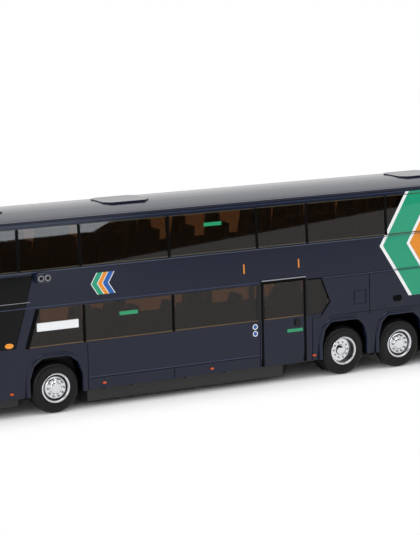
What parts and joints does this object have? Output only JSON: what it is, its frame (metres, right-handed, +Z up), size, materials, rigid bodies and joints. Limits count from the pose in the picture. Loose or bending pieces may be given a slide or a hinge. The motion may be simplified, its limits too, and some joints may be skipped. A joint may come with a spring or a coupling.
{
  "type": "die-cast scale model of a three-axle double-deck coach",
  "caption": "Scale model of a long double-deck coach with tinted window bands, moulded doors, fitted seats and axles that turn freely.",
  "frame": {"origin": "on the floor, below the middle of the box that holds the whole model, door mirrors counted", "axes": "+X towards the nose, +Y towards the left side (the side of the entrance door), +Z up"},
  "size_m": [0.1888, 0.0388, 0.0532],
  "materials": {
    "body_paint": "gloss",
    "bumper_paint": "gloss",
    "black_gloss": "gloss",
    "black_matte": "matte",
    "chassis_grey": "satin",
    "tinted_glass": "gloss",
    "clear_glass": "gloss",
    "lamp_clear": "gloss",
    "lamp_red": "gloss",
    "lamp_orange": "gloss",
    "seat_grey": "matte",
    "deck_grey": "matte",
    "plate_white": "satin",
    "tyre": "matte",
    "wheel_chrome": "polished",
    "steel": "satin",
    "pod_grey": "gloss"
  },
  "bodies": {
    "coach_body": {"body_shell": "body_paint", "front_bumper": "bumper_paint", "rear_bumper": "bumper_paint", "engine_cover": "bumper_paint", "front_grille": "black_matte", "entrance_door": "black_gloss", "access_door": "bumper_paint", "emergency_door": "bumper_paint", "corner_panel_left": "black_gloss", "corner_panel_right": "black_gloss", "door_handles": "black_matte", "side_pod_left": "pod_grey", "side_pod_right": "pod_grey", "number_plates": "plate_white", "wipers": "black_matte", "mirror_left": "black_gloss", "mirror_right": "black_gloss", "windscreen_upper": "tinted_glass", "windscreen_lower": "clear_glass", "glazing_upper_left": "tinted_glass", "glazing_upper_right": "tinted_glass", "glazing_lower_left": "tinted_glass", "glazing_lower_right": "tinted_glass", "quarter_glass_left": "tinted_glass", "quarter_glass_right": "tinted_glass", "rear_window": "tinted_glass", "headlamps": "lamp_clear", "tail_lamps": "lamp_red", "marker_lamps": "lamp_orange", "lower_deck": "deck_grey", "lower_seats": "seat_grey", "upper_deck": "deck_grey", "upper_seats": "seat_grey", "stairs": "deck_grey", "dashboard": "black_matte", "driver_seat": "seat_grey", "steering_wheel": "black_matte", "chassis_base": "chassis_grey", "base_screws": "steel"},
    "front_axle": {"front_axle_pin": "steel", "front_hubs": "wheel_chrome", "front_tyres": "tyre"},
    "drive_axle": {"drive_axle_pin": "steel", "drive_hubs": "wheel_chrome", "drive_tyres": "tyre"},
    "tag_axle": {"tag_axle_pin": "steel", "tag_hubs": "wheel_chrome", "tag_tyres": "tyre"}
  },
  "joints": [
    {"name": "front_axle_spin", "type": "hinge", "parent": "coach_body", "child": "front_axle", "pos_m": [0.05425, 0, 0.00685], "axis": [0, 1, 0], "continuous": true},
    {"name": "drive_axle_spin", "type": "hinge", "parent": "coach_body", "child": "drive_axle", "pos_m": [-0.03345, 0, 0.00685], "axis": [0, 1, 0], "continuous": true},
    {"name": "tag_axle_spin", "type": "hinge", "parent": "coach_body", "child": "tag_axle", "pos_m": [-0.05195, 0, 0.00685], "axis": [0, 1, 0], "continuous": true}
  ]
}
